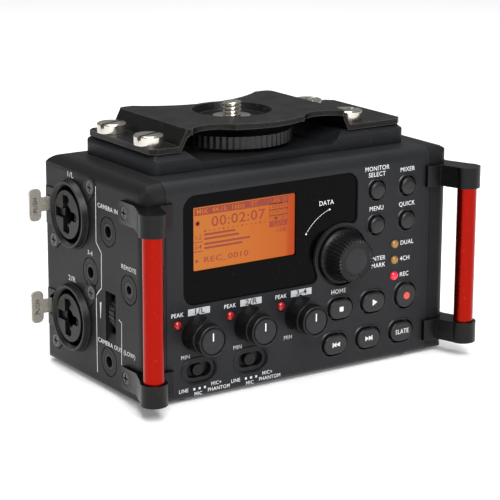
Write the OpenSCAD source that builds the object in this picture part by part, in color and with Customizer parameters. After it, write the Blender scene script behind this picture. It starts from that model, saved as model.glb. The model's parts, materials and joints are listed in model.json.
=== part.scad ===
// Portable field recorder: a box-shaped audio recorder that carries a camera on its top plate.
// Frame: X to the right, Y to the back, Z up. The origin is the mouth of the tripod socket underneath.

/* [Body] */
// Width over the two end caps
body_w = 120; // [112:1:150]
// Depth from front face to back face
body_d = 65.6; // [65:0.1:72]
// Height from the underside to the top of the shell
body_h = 71.3; // [70:0.1:80]
// Thickness of each moulded end cap
cap_t = 8.1; // [7:0.1:10]
// Wall thickness of the mouldings
wall = 2.2; // [2:0.1:2.6]
// Radius of the front edges of the shell
edge_r = 4; // [3:0.1:5]
// Radius of the sweep from the top to the back
back_r = 10; // [7:0.5:12]

/* [Camera mount] */
// Left-right place of the camera screw
mount_x = -6; // [-8:0.5:0]
// Front-back place of the camera screw
mount_y = 1.5; // [0:0.1:3]
// Height of the platform above the shell
platform_h = 6.3; // [5:0.1:7]
// Thickness of the pressed steel plate
plate_t = 1.8; // [1.5:0.1:2]
// Rise of the plate's raised middle above its feet
plate_rise = 5.4; // [5:0.1:7]
// Radius of the knurled wheel that drives the camera screw
thumb_r = 20.2; // [17:0.1:20.5]
// Number of ridges on the knurled wheel
thumb_ridges = 60; // [40:2:80]

/* [Handles] */
// Radius of each red handle bar
bar_r = 3.3; // [3:0.1:3.6]
// Sideways place of each bar's centre
bar_x = 61.5; // [60:0.1:64]
// How far the bars stand in front of the front face
bar_out = 8; // [7:0.1:10]
// Height of each bracket arm
arm_h = 7.2; // [6:0.1:8]

/* [Front controls] */
// Radius of the data wheel at its foot
dial_r = 9.2; // [8:0.1:9.6]
// How far the data wheel stands out
dial_out = 8; // [7:0.1:9]
// Number of finger ribs on the data wheel
dial_ribs = 36; // [24:2:48]
// How far the trim knobs stand out
knob_out = 10; // [9:0.1:11]
// How far a button cap stands out
key_out = 0.9; // [0.8:0.05:1.2]
// Travel of a button
key_travel = 0.5; // [0.4:0.05:0.6]

/* [Hidden] */
$fn = 64;
eps = 0.01;
gap = 0.15;
front_y = -31.5;
back_y = front_y + body_d;
seam_x = body_w / 2 - cap_t;
side_x = body_w / 2;
inner_y = front_y + wall;
bottom_r = 2.4;
cap_r = 4.6;
cover_y = back_y - 13.6;
feet_drop = 1;

// platform and plate levels
platform_z = body_h + platform_h;
platform_w = 99.4;
platform_d = 43.8;
foot_top = platform_z + plate_t;
bridge_top = foot_top + plate_rise;
bridge_half = 30.5;
web_run = 2.8;
dish_r = 13.2;
dish_drop = 2.5;
dish_floor = bridge_top - dish_drop;
platform_bevel = 2.2;
stud_r = 3.175;
thumb_z0 = body_h + 3.9;
thumb_z1 = thumb_z0 + 4.2;
notch_floor = body_h + 2.4;
washer_t = 0.6;
thread_z = dish_floor + washer_t + 0.05;
stud_top = thread_z + 4.55;
neck_r = 2.6;
neck_hole_r = neck_r + 0.25;
screw_dx = 39;
screw_dy = 11.6;
screw_hole_r = 1.7;

// front panel layout, [x, z]
window_x = [-45.7, 21.9];
window_z = [30.9, 66.5];
window_step_z = 49;
lcd_x = [-41.4, -2.4];
lcd_z = [41.6, 62.2];
dial_pos = [15.9, 38.7];
dial_well_r = 10;
knob_pitch = 19.7;
knob_pos = [-41, 21.6];
knob_r = 5.5;
switch_drop = 12.4;
switch_recess = [12.2, 7.8];
switch_hole = [9.4, 4.8];
switch_cap = [4.2, 3.9];
oval = [10.2, 7.6];
round_r = 3.4;
record_r = 4.6;
led_r = 1.5;
led_x = 37.5;
led_z = [39.7, 34.2, 28.7];
peak_dx = -6.9;
peak_dz = 3.8;
key_gap = 0.3;
key_pos = [[29.6, 59.2], [42.3, 59.2], [29.6, 47.4], [42.3, 47.4], [15.1, 20.9],
    [28.6, 21.1], [42.3, 21.3], [13, 8.9], [26.8, 8.9], [40.7, 8.9]];
key_shape = [0, 0, 0, 0, 1, 1, 2, 1, 1, 1];
shaft_r = 3;
shaft_end = inner_y + 2.6;

// handle brackets: lower and upper
bracket_z = [4.1, 57.9];
bracket_screw_y = front_y + 9.7;
bracket_end_y = front_y + 12;
bar_y = front_y - bar_out;
bar_seat = 4.9;

// left side layout, [y, z]
jack_y = 13.6;
jack_z = [53.8, 18.9];
jack_ring_r = 11.6;
jack_bore_r = 9.3;
jack_insert_r = 8;
jack_body_r = 10.9;
jack_flange_t = 1.5;
jack_flange_out = 0.4;
jack_ring_out = 2.4;
jack_insert_out = 2;
jack_deep = 24;
jack_screw = [12.3, 11.2];
jack_ear_r = 2.9;
jack_screw_r = 1.5;
tab_y = 28.4;
tab_rise = 0.7;
tab_out = 8.1;
tab_neck = 4.8;
tab_t = 0.8;
latch_block = [2.4, 12.6];
left_sockets = [[-9.6, 52.7], [2, 36.8], [-22.3, 36.6], [-9.2, 9.6]];
socket_r = [1.85, 1.85, 1.35, 1.85];
socket_ring_r = 4.6;
socket_deep = 12;
socket_groove = [4.6, 5, 0.4];
level_pos = [-10.6, 25.6];
level_r = 7.4;
level_t = 3.2;

// right side layout, [y, z]
right_sockets = [[-19, 50], [-19, 20]];
phones_pos = [-19, 35];
power_pos = [-2, 56];
card_y = [8, 24];
card_z = [14, 58];

// back layout
door_x = [-31, 29];
door_z = [5.2, 64.5];
door_axis_y = back_y - 1;
door_t = 2;
cell_r = 7.15;
cell_len = 50.5;
cell_pitch = 15;
cell_z0 = 12;
cell_y = 22;
cell_x = -1;

// ---- shared shapes ----

// Lays a plate drawn in X and Z upright, from y0 to y1
module upright(y0, y1) {
    translate([0, y1, 0]) rotate([90, 0, 0]) linear_extrude(y1 - y0) children();
}

// Cylinder along Y
module rod_y(x, z, y0, y1, r) {
    translate([x, y1, z]) rotate([90, 0, 0]) cylinder(h = y1 - y0, r = r);
}

// Cylinder along X
module rod_x(y, z, x0, x1, r) {
    translate([x0, y, z]) rotate([0, 90, 0]) cylinder(h = x1 - x0, r = r);
}

// Box between two corners
module block(a, b) {
    translate(a) cube(b - a);
}

// Rectangle with round corners, centred
module soft_rect(w, h, r) {
    square([w - 2 * r, h], center = true);
    square([w, h - 2 * r], center = true);
    for (sx = [-1, 1], sy = [-1, 1]) translate([sx * (w / 2 - r), sy * (h / 2 - r)]) circle(r);
}

// Round-ended slot, centred, long way along X
module slot(w, h) {
    square([w - h, h], center = true);
    for (s = [-1, 1]) translate([s * (w - h) / 2, 0]) circle(h / 2);
}

// What is cut from a square corner to round it; the corner is at the origin, the body in +X +Y
module corner_waste(r) {
    difference() {
        translate([-1, -1]) square(r + 1);
        translate([r, r]) circle(r);
    }
}

// Side view of the shell: the back runs into the top in a large sweep
module shell_outline(inset = 0) {
    d = body_d - 2 * inset;
    h = body_h - 2 * inset;
    translate([front_y + inset, inset]) difference() {
        square([d, h]);
        corner_waste(bottom_r - inset / 2);
        translate([d, 0]) mirror([1, 0]) corner_waste(bottom_r - inset / 2);
        translate([0, h]) mirror([0, 1]) corner_waste(edge_r - inset / 2);
        translate([d, h]) mirror([1, 0]) mirror([0, 1]) corner_waste(back_r - inset / 2);
    }
}

// Shell outline run from x0 to x1
module shell_run(x0, x1, inset = 0) {
    translate([x0, 0, 0]) rotate([90, 0, 90]) linear_extrude(x1 - x0) shell_outline(inset);
}

// Everything on one side of the body is a mirror image of the other
module on_side(s) {
    if (s > 0) children();
    else mirror([1, 0, 0]) children();
}

// ---- casing ----

module window_outline(inset = 0) {
    low = [window_x[0] + inset, window_z[0] + inset];
    high = [window_x[1] - inset, window_z[1] - inset];
    r = 4.5;
    arc_r = dial_well_r + 1.2 + inset;
    step_z = window_step_z + inset;
    difference() {
        union() {
            translate(low) square([dial_pos[0] - 10 - low[0], high[1] - low[1]]);
            translate([low[0], step_z]) square([high[0] - low[0], high[1] - step_z]);
            translate([dial_pos[0] - 11, dial_pos[1]]) square([11, high[1] - dial_pos[1]]);
        }
        translate(dial_pos) circle(arc_r);
        translate(low) corner_waste(r);
        translate([dial_pos[0] - 10, low[1]]) mirror([1, 0]) corner_waste(2);
        translate([low[0], high[1]]) mirror([0, 1]) corner_waste(r);
        translate(high) mirror([1, 0]) mirror([0, 1]) corner_waste(r);
        translate([high[0], step_z]) mirror([1, 0]) corner_waste(2);
    }
}

// Plan of one button cap, grown by g
module key_outline(shape, g = 0) {
    if (shape == 0) circle(round_r + g);
    if (shape == 1) slot(oval[0] + 2 * g, oval[1] + 2 * g);
    if (shape == 2) circle(record_r + g);
}

// The tunnel that front shell and back cover are cut from
module shell_tunnel() {
    difference() {
        shell_run(-seam_x, seam_x);
        shell_run(-seam_x - 1, seam_x + 1, wall);
    }
}

module center_housing() {
    color("#3a3b3e") difference() {
        intersection() {
            shell_tunnel();
            block([-seam_x, front_y - 1, -1], [seam_x, cover_y - gap, body_h + 1]);
        }
        upright(front_y - 1, front_y + 1.6) window_outline();
        block([lcd_x[0] - 0.5, front_y - 1, lcd_z[0] - 0.5], [lcd_x[1] + 0.5, inner_y + 1, lcd_z[1] + 0.5]);
        rod_y(dial_pos[0], dial_pos[1], front_y - 1, front_y + 1.2, dial_well_r);
        rod_y(dial_pos[0], dial_pos[1], front_y, inner_y + 1, 3.2);
        for (i = [0:len(key_pos) - 1])
            upright(front_y - 1, inner_y + 1) translate(key_pos[i]) key_outline(key_shape[i], key_gap);
        for (z = led_z) rod_y(led_x, z, front_y - 1, inner_y + 1, led_r + gap);
        for (i = [0:2]) {
            x = knob_pos[0] + i * knob_pitch;
            rod_y(x, knob_pos[1], front_y - 1, inner_y + 1, 3.2);
            rod_y(x + peak_dx, knob_pos[1] + peak_dz, front_y - 1, inner_y + 1, led_r + gap);
        }
        for (i = [0:1]) translate([knob_pos[0] + 1.3 + i * knob_pitch, 0, knob_pos[1] - switch_drop]) {
            upright(front_y - 1, front_y + 0.7) slot(switch_recess[0], switch_recess[1]);
            upright(front_y - 1, inner_y + 1) slot(switch_hole[0], switch_hole[1]);
        }
        cylinder(h = 20, r = 6.2, center = true);
        at_mount_screws(body_h - wall - 1) cylinder(h = 8, r = screw_hole_r);
    }
}

// Four places of the screws that hold plate and platform
module at_mount_screws(z) {
    for (sx = [-1, 1], sy = [-1, 1])
        translate([mount_x + sx * screw_dx, mount_y + sy * screw_dy, z]) children();
}

module rear_cover() {
    color("#343538") difference() {
        intersection() {
            shell_tunnel();
            block([-seam_x, cover_y + gap, -1], [seam_x, back_y + 1, body_h + 1]);
        }
        block([door_x[0] - 0.25, back_y - wall - 1, door_z[0] - 1.25],
            [door_x[1] + 0.25, back_y + 1, door_z[1] + 0.3]);
        for (i = [0:5]) block([36, back_y - wall - 1, 34 + 4 * i], [48, back_y + 1, 35.6 + 4 * i]);
    }
}

// Solid end cap: shell outline, with its outer edges rounded in plan and in front view
module cap_solid() {
    intersection() {
        shell_run(seam_x + gap, side_x);
        linear_extrude(body_h + 1) difference() {
            translate([0, front_y]) square([side_x, body_d]);
            translate([side_x, front_y]) mirror([1, 0]) corner_waste(edge_r);
            translate([side_x, back_y]) mirror([1, 0]) mirror([0, 1]) corner_waste(edge_r);
        }
        upright(front_y - 1, back_y + 1) difference() {
            square([side_x, body_h]);
            translate([side_x, body_h]) mirror([1, 0]) mirror([0, 1]) corner_waste(cap_r);
            translate([side_x, 0]) mirror([1, 0]) corner_waste(bottom_r);
        }
    }
}

// End cap hollowed from its seam side, with holes for the bracket screws
module cap_shell() {
    difference() {
        cap_solid();
        block([seam_x - 1, front_y + edge_r, bottom_r + 1], [side_x - wall, back_y - edge_r, body_h - cap_r]);
        for (z = bracket_z) rod_x(bracket_screw_y, z + arm_h / 2, seam_x, side_x + 1, 1.45);
    }
}

// Hole for a small socket's collar and the groove that rings it, on the right side
module socket_cut(p) {
    rod_x(p[0], p[1], seam_x, side_x + 1, socket_ring_r - 1.7);
    difference() {
        rod_x(p[0], p[1], side_x - socket_groove[2], side_x + 1, socket_groove[1]);
        rod_x(p[0], p[1], side_x - socket_groove[2] - 1, side_x + 2, socket_groove[0]);
    }
}

// Slot of an edge wheel and the shallow recess round it, which ramps up to the skin at its foot
module wheel_slot(p) {
    block([seam_x, p[0] - 2.4, p[1] - 6.6], [side_x + 1, p[0] + 2.4, p[1] + 6.6]);
    translate([0, p[0] + 3.2, p[1]]) rotate([90, 0, 0]) linear_extrude(6.4)
        polygon([[side_x - 1.2, 7.4], [side_x - 1.2, -7], [side_x, -10.4], [side_x + 1, -10.4],
            [side_x + 1, 7.4]]);
}

// Plan of a microphone socket's flange: ring, two screw ears and the latch block behind; g is the play
module jack_plan(g = 0) {
    reach = norm(jack_screw);
    circle(jack_ring_r + g);
    for (s = [-1, 1]) rotate(atan2(-s * jack_screw[1], s * jack_screw[0])) {
        translate([0, -jack_ear_r - g]) square([reach, 2 * (jack_ear_r + g)]);
        translate([reach, 0]) circle(jack_ear_r + g);
    }
    translate([0, -latch_block[1] / 2 - g])
        square([tab_y - jack_y + latch_block[0] + g, latch_block[1] + 2 * g]);
}

// Runs a plan drawn in Y and Z round a microphone socket's centre, from x0 to x1
module at_jack(z, x0, x1) {
    translate([x0, jack_y, z]) rotate([90, 0, 90]) linear_extrude(x1 - x0) children();
}

module left_end_cap() {
    color("#303133") difference() {
        on_side(-1) cap_shell();
        for (z = jack_z) {
            at_jack(z, -side_x - 1, -side_x + jack_flange_t) jack_plan(0.1);
            rod_x(jack_y, z, -side_x, -seam_x, jack_body_r + 0.1);
            for (s = [-1, 1])
                rod_x(jack_y + s * jack_screw[0], z - s * jack_screw[1],
                    -side_x, -seam_x, jack_screw_r + 0.1);
            block([-side_x, tab_y - tab_t, z + tab_rise - tab_neck / 2 - 0.5],
                [-seam_x, tab_y + tab_t, z + tab_rise + tab_neck / 2 + 0.5]);
        }
        on_side(-1) for (p = left_sockets) socket_cut(p);
        on_side(-1) wheel_slot(level_pos);
    }
}

module right_end_cap() {
    color("#303133") difference() {
        cap_shell();
        for (p = right_sockets) socket_cut(p);
        wheel_slot(phones_pos);
        translate([seam_x, power_pos[0], power_pos[1]]) rotate([90, 0, 90])
            linear_extrude(cap_t + 1) slot(11, 5);
        block([seam_x, card_y[0] - 0.2, card_z[0] - 0.2], [side_x + 1, card_y[1] + 1.2, card_z[1] + 0.2]);
    }
}

// ---- camera platform and plate ----

// Side view of the platform, w wide, with both top edges bevelled
module platform_profile(w) {
    b = platform_bevel;
    polygon([[-w / 2, 0], [w / 2, 0], [w / 2, platform_h - b], [w / 2 - b, platform_h],
        [-w / 2 + b, platform_h], [-w / 2, platform_h - b]]);
}

module top_platform() {
    color("#4a4c50") difference() {
        translate([0, mount_y, body_h]) intersection() {
            linear_extrude(platform_h) soft_rect(platform_w, platform_d, 3);
            rotate([90, 0, 0]) linear_extrude(platform_d + 2, center = true) platform_profile(platform_w);
            rotate([90, 0, 90]) linear_extrude(platform_w + 2, center = true) platform_profile(platform_d);
        }
        finger_channel();
        at_mount_screws(body_h - 1) cylinder(h = 9, r = screw_hole_r);
    }
}

// Channel from front to back that lets a finger reach the wheel
module finger_channel() {
    w = 25.5;
    translate([mount_x, mount_y, 0]) rotate([90, 0, 0]) linear_extrude(platform_d + 2, center = true)
        polygon([[-w, notch_floor], [w, notch_floor], [w + 5, platform_z], [w + 5, platform_z + 1],
            [-w - 5, platform_z + 1], [-w - 5, platform_z]]);
}

// Front view of the pressed plate: two feet, two slopes and the raised middle
module plate_profile() {
    half = platform_w / 2;
    l = mount_x - bridge_half;
    r = mount_x + bridge_half;
    low = foot_top - plate_t;
    under = bridge_top - plate_t;
    polygon([[-half, low], [l - web_run + 0.6, low], [l + 0.6, under],
        [r - 0.6, under], [r + web_run - 0.6, low], [half, low],
        [half, foot_top], [r + web_run, foot_top], [r, bridge_top], [l, bridge_top],
        [l - web_run, foot_top], [-half, foot_top]]);
}

// Plan of the pressed plate: waisted behind, with a bulge over the wheel in front
module plate_plan() {
    half_d = 22.8;
    foot_d = 20.8;
    waist = 38;
    difference() {
        union() {
            translate([0, mount_y]) difference() {
                square([platform_w - 0.6, 2 * foot_d], center = true);
                for (sx = [-1, 1], sy = [-1, 1]) translate([sx * (platform_w / 2 - 0.3), sy * foot_d])
                    rotate(45) square(3.2, center = true);
            }
            translate([mount_x, mount_y]) soft_rect(2 * bridge_half, 2 * half_d, 2.5);
            translate([mount_x, mount_y]) circle(25.6);
        }
        translate([mount_x, mount_y + half_d + waist - 9]) circle(waist);
        for (s = [-1, 1]) translate([mount_x + s * 21.5, mount_y - 27.6]) circle(9.5);
    }
}

module mount_plate() {
    color("#35342f") difference() {
        union() {
            intersection() {
                upright(mount_y - 30, mount_y + 30) plate_profile();
                translate([0, 0, foot_top - plate_t - 1])
                    linear_extrude(plate_rise + plate_t + 2) plate_plan();
            }
            translate([mount_x, mount_y, dish_floor - plate_t])
                cylinder(h = dish_drop + plate_t - eps, r = dish_r + 1.6);
        }
        translate([mount_x, mount_y, dish_floor])
            cylinder(h = dish_drop + 1, r1 = dish_r - 1, r2 = dish_r + 0.6);
        translate([mount_x, mount_y, dish_floor - plate_t - 1]) cylinder(h = 5, r = neck_hole_r);
        at_mount_screws(foot_top - 3) cylinder(h = 5, r = screw_hole_r);
    }
}

module mount_screws() {
    head_r = 4.9;
    head_h = 3.2;
    at_mount_screws(foot_top)
        color("#b5b0a8") difference() {
            union() {
                cylinder(h = head_h - 0.4, r = head_r);
                translate([0, 0, head_h - 0.4]) cylinder(h = 0.4, r1 = head_r, r2 = head_r - 0.4);
                translate([0, 0, -9]) cylinder(h = 9, r = 1.6);
            }
            translate([0, 0, head_h]) rotate(20) cube([12, 1.3, 2.6], center = true);
        }
}

// Captive screw: a thin neck passes the plate, the full thread stands above the washer
module camera_stud() {
    tip = 0.5;
    color("#b8b4ac") translate([mount_x, mount_y, 0]) {
        translate([0, 0, thumb_z1]) cylinder(h = thread_z - thumb_z1, r = neck_r);
        translate([0, 0, thread_z]) cylinder(h = stud_top - tip - thread_z, r = stud_r);
        translate([0, 0, stud_top - tip]) cylinder(h = tip, r1 = stud_r, r2 = stud_r - tip);
    }
}

module thumb_wheel() {
    tooth = 0.45;
    n = 2 * thumb_ridges;
    color("#26272a") translate([mount_x, mount_y, thumb_z0]) {
        linear_extrude(thumb_z1 - thumb_z0) polygon([for (i = [0:n - 1])
            (thumb_r - (i % 2) * tooth) * [cos(i * 360 / n), sin(i * 360 / n)]]);
    }
}

module stud_washer() {
    color("#aaa69e") translate([mount_x, mount_y, dish_floor]) difference() {
        cylinder(h = washer_t, r = 6.3);
        translate([0, 0, -1]) cylinder(h = 3, r = neck_hole_r);
    }
}

// ---- display ----

module display_window() {
    color("#0c0c0d") difference() {
        upright(front_y + 0.7, front_y + 1.6 - eps) window_outline(0.12);
        block([lcd_x[0], front_y - 1, lcd_z[0]], [lcd_x[1], inner_y + 1, lcd_z[1]]);
    }
}

module lcd_module() {
    rim = 3;
    color("#f08a2c") block([lcd_x[0] + 0.1, front_y + 1.5, lcd_z[0] + 0.1],
        [lcd_x[1] - 0.1, inner_y + 0.2, lcd_z[1] - 0.1]);
    color("#2e2f31") block([lcd_x[0] - rim, inner_y + 0.15, lcd_z[0] - rim],
        [lcd_x[1] + rim, inner_y + 3, lcd_z[1] + rim]);
}

// ---- controls ----

module data_wheel() {
    foot_y = front_y + 0.9;
    top_y = front_y - dial_out;
    len = foot_y - top_y;
    neck_r1 = dial_r - 1.5;
    neck_r2 = dial_r - 1.9;
    color("#232426") translate([dial_pos[0], 0, dial_pos[1]]) {
        difference() {
            translate([0, foot_y, 0]) rotate([90, 0, 0]) rotate_extrude() polygon([[0, 0], [dial_r, 0],
                [dial_r, 1.2], [neck_r1, 3], [neck_r2, len - 0.7], [neck_r2 - 0.7, len], [0, len]]);
            upright(top_y - 1, foot_y - 2.3) for (i = [0:dial_ribs - 1])
                rotate(i * 360 / dial_ribs) translate([neck_r2 + 0.25, 0]) circle(0.42, $fn = 12);
        }
        rod_y(0, 0, foot_y - eps, shaft_end, shaft_r);
    }
}

// Nose of a trim knob's skirt, at twelve o'clock
module knob_nose() {
    polygon([[-3.2, knob_r * 0.78], [0, knob_r + 1.5], [3.2, knob_r * 0.78]]);
}

module trim_knob(i) {
    foot_y = front_y - 0.3;
    top_y = front_y - knob_out;
    barrel_r = knob_r - 0.25;
    ring = [knob_r - 1.4, knob_r - 0.7];
    color("#242527") translate([knob_pos[0] + i * knob_pitch, 0, knob_pos[1]]) {
        rod_y(0, 0, top_y + 3, foot_y, knob_r);
        upright(top_y + 3, foot_y - 1) {
            knob_nose();
            circle(knob_r);
        }
        difference() {
            union() {
                rod_y(0, 0, top_y + 0.5, top_y + 3 + eps, barrel_r);
                translate([0, top_y + 0.5 + eps, 0]) rotate([90, 0, 0])
                    cylinder(h = 0.5, r1 = barrel_r, r2 = barrel_r - 0.35);
            }
            upright(top_y - 1, top_y + 1.1) difference() {
                circle(ring[1]);
                circle(ring[0]);
            }
        }
        rod_y(0, 0, foot_y - eps, shaft_end, shaft_r);
    }
}

module trim_knob_1() trim_knob(0);
module trim_knob_2() trim_knob(1);
module trim_knob_3() trim_knob(2);

module input_switch(i) {
    color("#1d1e20") translate([knob_pos[0] + 1.3 + i * knob_pitch, 0, knob_pos[1] - switch_drop]) {
        upright(front_y + 0.9, inner_y + 0.4) slot(switch_cap[0], switch_cap[1]);
        upright(inner_y + 0.3, inner_y + 1.6) square([14, 6.4], center = true);
    }
}

module input_switch_1() input_switch(0);
module input_switch_2() input_switch(1);

// Button i: a cap with a softened rim and a retaining flange behind the panel
module key(i) {
    color("#2c2d30") translate([key_pos[i][0], 0, key_pos[i][1]]) {
        upright(front_y - key_out + 0.3, inner_y + 0.3) key_outline(key_shape[i]);
        upright(front_y - key_out, front_y - key_out + 0.3 + eps) key_outline(key_shape[i], -0.3);
        upright(inner_y + 0.1, inner_y + 1) key_outline(key_shape[i], 0.9);
    }
}

module monitor_button() key(0);
module mixer_button() key(1);
module menu_button() key(2);
module quick_button() key(3);
module stop_button() key(4);
module play_button() key(5);
module record_button() key(6);
module skip_back_button() key(7);
module skip_forward_button() key(8);
module slate_button() key(9);

// Domed lamp at x, z
module lamp(x, z) {
    translate([x, front_y, z]) rotate([90, 0, 0]) intersection() {
        translate([0, 0, -wall - 1]) cylinder(h = wall + 3, r = led_r);
        translate([0, 0, -2]) sphere(led_r * 1.8);
    }
    rod_y(x, z, front_y + 1, inner_y + 2, led_r);
}

module mode_leds() {
    color("#d8a040") for (i = [0:1]) lamp(led_x, led_z[i]);
}

module record_led() {
    color("#e0203a") lamp(led_x, led_z[2]);
}

module peak_leds() {
    color("#d81818") for (i = [0:2]) lamp(knob_pos[0] + i * knob_pitch + peak_dx, knob_pos[1] + peak_dz);
}

// ---- left side ----

// Input socket: a raised ring on a flange with two screw ears and a latch block
module combo_jack(n) {
    z = jack_z[n];
    x0 = -side_x - jack_ring_out;
    flange_x = -side_x - jack_flange_out;
    mouth = 1.2;
    color("#1e1f21") difference() {
        union() {
            at_jack(z, flange_x, -side_x + jack_flange_t - eps) jack_plan();
            translate([x0, jack_y, z]) rotate([0, 90, 0])
                cylinder(h = jack_ring_out, r1 = jack_ring_r - 0.7, r2 = jack_ring_r - 0.1);
            rod_x(jack_y, z, x0 + 1, -side_x + jack_deep, jack_body_r - 0.1);
        }
        translate([x0 - eps, jack_y, z]) rotate([0, 90, 0])
            cylinder(h = mouth, r1 = jack_bore_r + 0.9, r2 = jack_bore_r);
        rod_x(jack_y, z, x0, -side_x + jack_deep - 2, jack_bore_r);
        for (s = [-1, 1]) {
            rod_x(jack_y + s * jack_screw[0], z - s * jack_screw[1], flange_x - 1, flange_x + 0.9, 2.5);
            rod_x(jack_y + s * jack_screw[0], z - s * jack_screw[1], flange_x, -seam_x, jack_screw_r + 0.1);
        }
        block([x0, tab_y - tab_t, z + tab_rise - tab_neck / 2 - 0.4],
            [-seam_x, tab_y + tab_t, z + tab_rise + tab_neck / 2 + 0.4]);
    }
}

module combo_jack_1() combo_jack(0);
module combo_jack_2() combo_jack(1);

// Inner sleeve of a socket: a phone bore in the middle and three contact holes round it
module jack_inserts() {
    x0 = -side_x - jack_insert_out;
    contact = [4.9, 1.5, 16];
    for (z = jack_z) color("#3b3c3f") difference() {
        rod_x(jack_y, z, x0, -side_x + jack_deep - 2 - eps, jack_insert_r);
        rod_x(jack_y, z, x0 - 1, -side_x + jack_deep - 4, 3.25);
        for (a = [90, 180, 270]) rod_x(jack_y + contact[0] * cos(a), z + contact[0] * sin(a),
            x0 - 1, x0 + contact[2], contact[1]);
    }
}

module jack_screws() {
    head_x = -side_x - jack_flange_out;
    for (z = jack_z, s = [-1, 1]) translate([head_x, jack_y + s * jack_screw[0], z - s * jack_screw[1]])
        color("#8c8a86") difference() {
            union() {
                rod_x(0, 0, 0, 0.89, 2.3);
                rod_x(0, 0, 0.8, 6, jack_screw_r);
            }
            for (a = [0, 90]) rotate([a, 0, 0]) cube([1, 0.6, 2.8], center = true);
        }
}

// Flat release tab: a neck through the latch block and a broad thumb plate
module latch_tab(n) {
    z = jack_z[n] + tab_rise;
    head = [4.6, 11];
    color("#b9b4aa") upright(tab_y - tab_t / 2, tab_y + tab_t / 2) {
        translate([-side_x - tab_out + head[0] / 2, z]) soft_rect(head[0], head[1], 1.9);
        translate([-side_x - tab_out + 3, z - tab_neck / 2]) square([tab_out + 2, tab_neck]);
    }
}

module latch_tab_1() latch_tab(0);
module latch_tab_2() latch_tab(1);

// Small socket whose collar fills a hole in the end cap
module mini_jack(p, r, s) {
    on_side(s) difference() {
        union() {
            rod_x(p[0], p[1], side_x - wall + 0.3, side_x, socket_ring_r - 1.8);
            block([side_x - socket_deep, p[0] - 3.4, p[1] - 3.4],
                [side_x - wall - 0.2, p[0] + 3.4, p[1] + 3.4]);
            rod_x(p[0], p[1], side_x - wall - 0.3, side_x - wall + 0.4, 2.6);
        }
        rod_x(p[0], p[1], side_x - socket_deep + 1, side_x + 1, r);
    }
}

module left_mini_jacks() {
    color("#1b1c1e") for (i = [0:3]) mini_jack(left_sockets[i], socket_r[i], -1);
}

module right_mini_jacks() {
    color("#1b1c1e") for (p = right_sockets) mini_jack(p, socket_r[0], 1);
}

// Edge wheel with finger ribs and a hub
module edge_wheel(p, s) {
    n = 28;
    on_side(s) translate([side_x - level_r - 0.2, p[0], p[1]]) rotate([90, 0, 0]) {
        linear_extrude(level_t, center = true) difference() {
            circle(level_r);
            for (i = [0:n - 1]) rotate(i * 360 / n) translate([level_r + 0.15, 0]) circle(0.45, $fn = 12);
        }
        cylinder(h = level_t + 1.6, r = 2, center = true);
    }
}

module level_wheel() {
    color("#26272a") edge_wheel(level_pos, -1);
}

// ---- right side ----

module phones_wheel() {
    color("#26272a") edge_wheel(phones_pos, 1);
}

// Ribbed slider in its slot, with a plate that keeps it behind the skin
module power_switch() {
    y0 = power_pos[0] - 4.3;
    skin_x = side_x - wall;
    color("#1f2022") {
        for (i = [0:2]) block([side_x - 1.4, y0 + 0.8 + 1.6 * i, power_pos[1] - 2],
            [side_x + 0.5, y0 + 1.8 + 1.6 * i, power_pos[1] + 2]);
        block([side_x - 3.6, y0, power_pos[1] - 2.1], [side_x - 0.6, y0 + 5.6, power_pos[1] + 2.1]);
        block([skin_x - 1.4, y0 - 0.7, power_pos[1] - 4], [skin_x - 0.3, y0 + 9.3, power_pos[1] + 4]);
    }
}

// Door over the card and data sockets: hinged at its back edge, with a lip for a fingernail
module card_door() {
    axis_y = card_y[1];
    mid_z = (card_z[0] + card_z[1]) / 2;
    lip = 6;
    color("#2a2b2d") {
        block([side_x - 1.9, card_y[0], card_z[0]], [side_x - 0.1, axis_y, card_z[1]]);
        translate([side_x - 1, axis_y, card_z[0]]) cylinder(h = card_z[1] - card_z[0], r = 0.9);
        block([side_x - 0.2, card_y[0] + 1, mid_z - lip], [side_x + 0.5, card_y[0] + 2, mid_z + lip]);
    }
}

module card_socket() {
    color("#9a9a98") difference() {
        block([side_x - 30, 12, 20], [side_x - 4, 16, 46]);
        block([side_x - 28, 13, 21], [side_x - 3, 15.2, 45]);
    }
    color("#a8a8a6") difference() {
        block([side_x - 14, 12, 48.5], [side_x - 4, 15.6, 56]);
        block([side_x - 12, 12.6, 49.1], [side_x - 3, 15, 55.4]);
    }
}

// ---- handles ----

// Plan of a bracket: eye round the bar, arm to the corner, a pad on the side and one on the front
module bracket_plan() {
    eye_r = bar_r + 1.05;
    pad = 1.5;
    end_y = bracket_end_y;
    difference() {
        union() {
            translate([bar_x, bar_y]) circle(eye_r);
            polygon([[bar_x + eye_r, bar_y], [side_x + pad, front_y + 3], [side_x + pad, end_y],
                [side_x - 1, end_y], [side_x - 5, front_y + 4], [seam_x - 2, front_y + 0.4],
                [seam_x - 2, front_y - pad], [seam_x - 1, front_y - pad - 0.4],
                [side_x - 5, front_y - pad - 0.4],
                [bar_x - eye_r, bar_y]]);
        }
        difference() {
            translate([0, front_y - gap / 3]) square([side_x + gap / 3, body_d]);
            translate([side_x + gap / 3, front_y - gap / 3]) mirror([1, 0]) corner_waste(edge_r);
        }
    }
}

// up = 1 for the upper bracket, 0 for the lower; the bar sits in a blind bore
module bracket(s, up) {
    z0 = bracket_z[up];
    bore_z = up ? z0 - 1 : z0 + arm_h - bar_seat - 0.1;
    color("#202123") on_side(s) difference() {
        translate([0, 0, z0]) linear_extrude(arm_h) bracket_plan();
        translate([bar_x, bar_y, bore_z]) cylinder(h = bar_seat + 1.1, r = bar_r + 0.05);
        rod_x(bracket_screw_y, z0 + arm_h / 2, side_x + 0.4, side_x + 3, 2.1);
        rod_x(bracket_screw_y, z0 + arm_h / 2, side_x - 1, side_x + 3, 1.4);
    }
}

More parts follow.
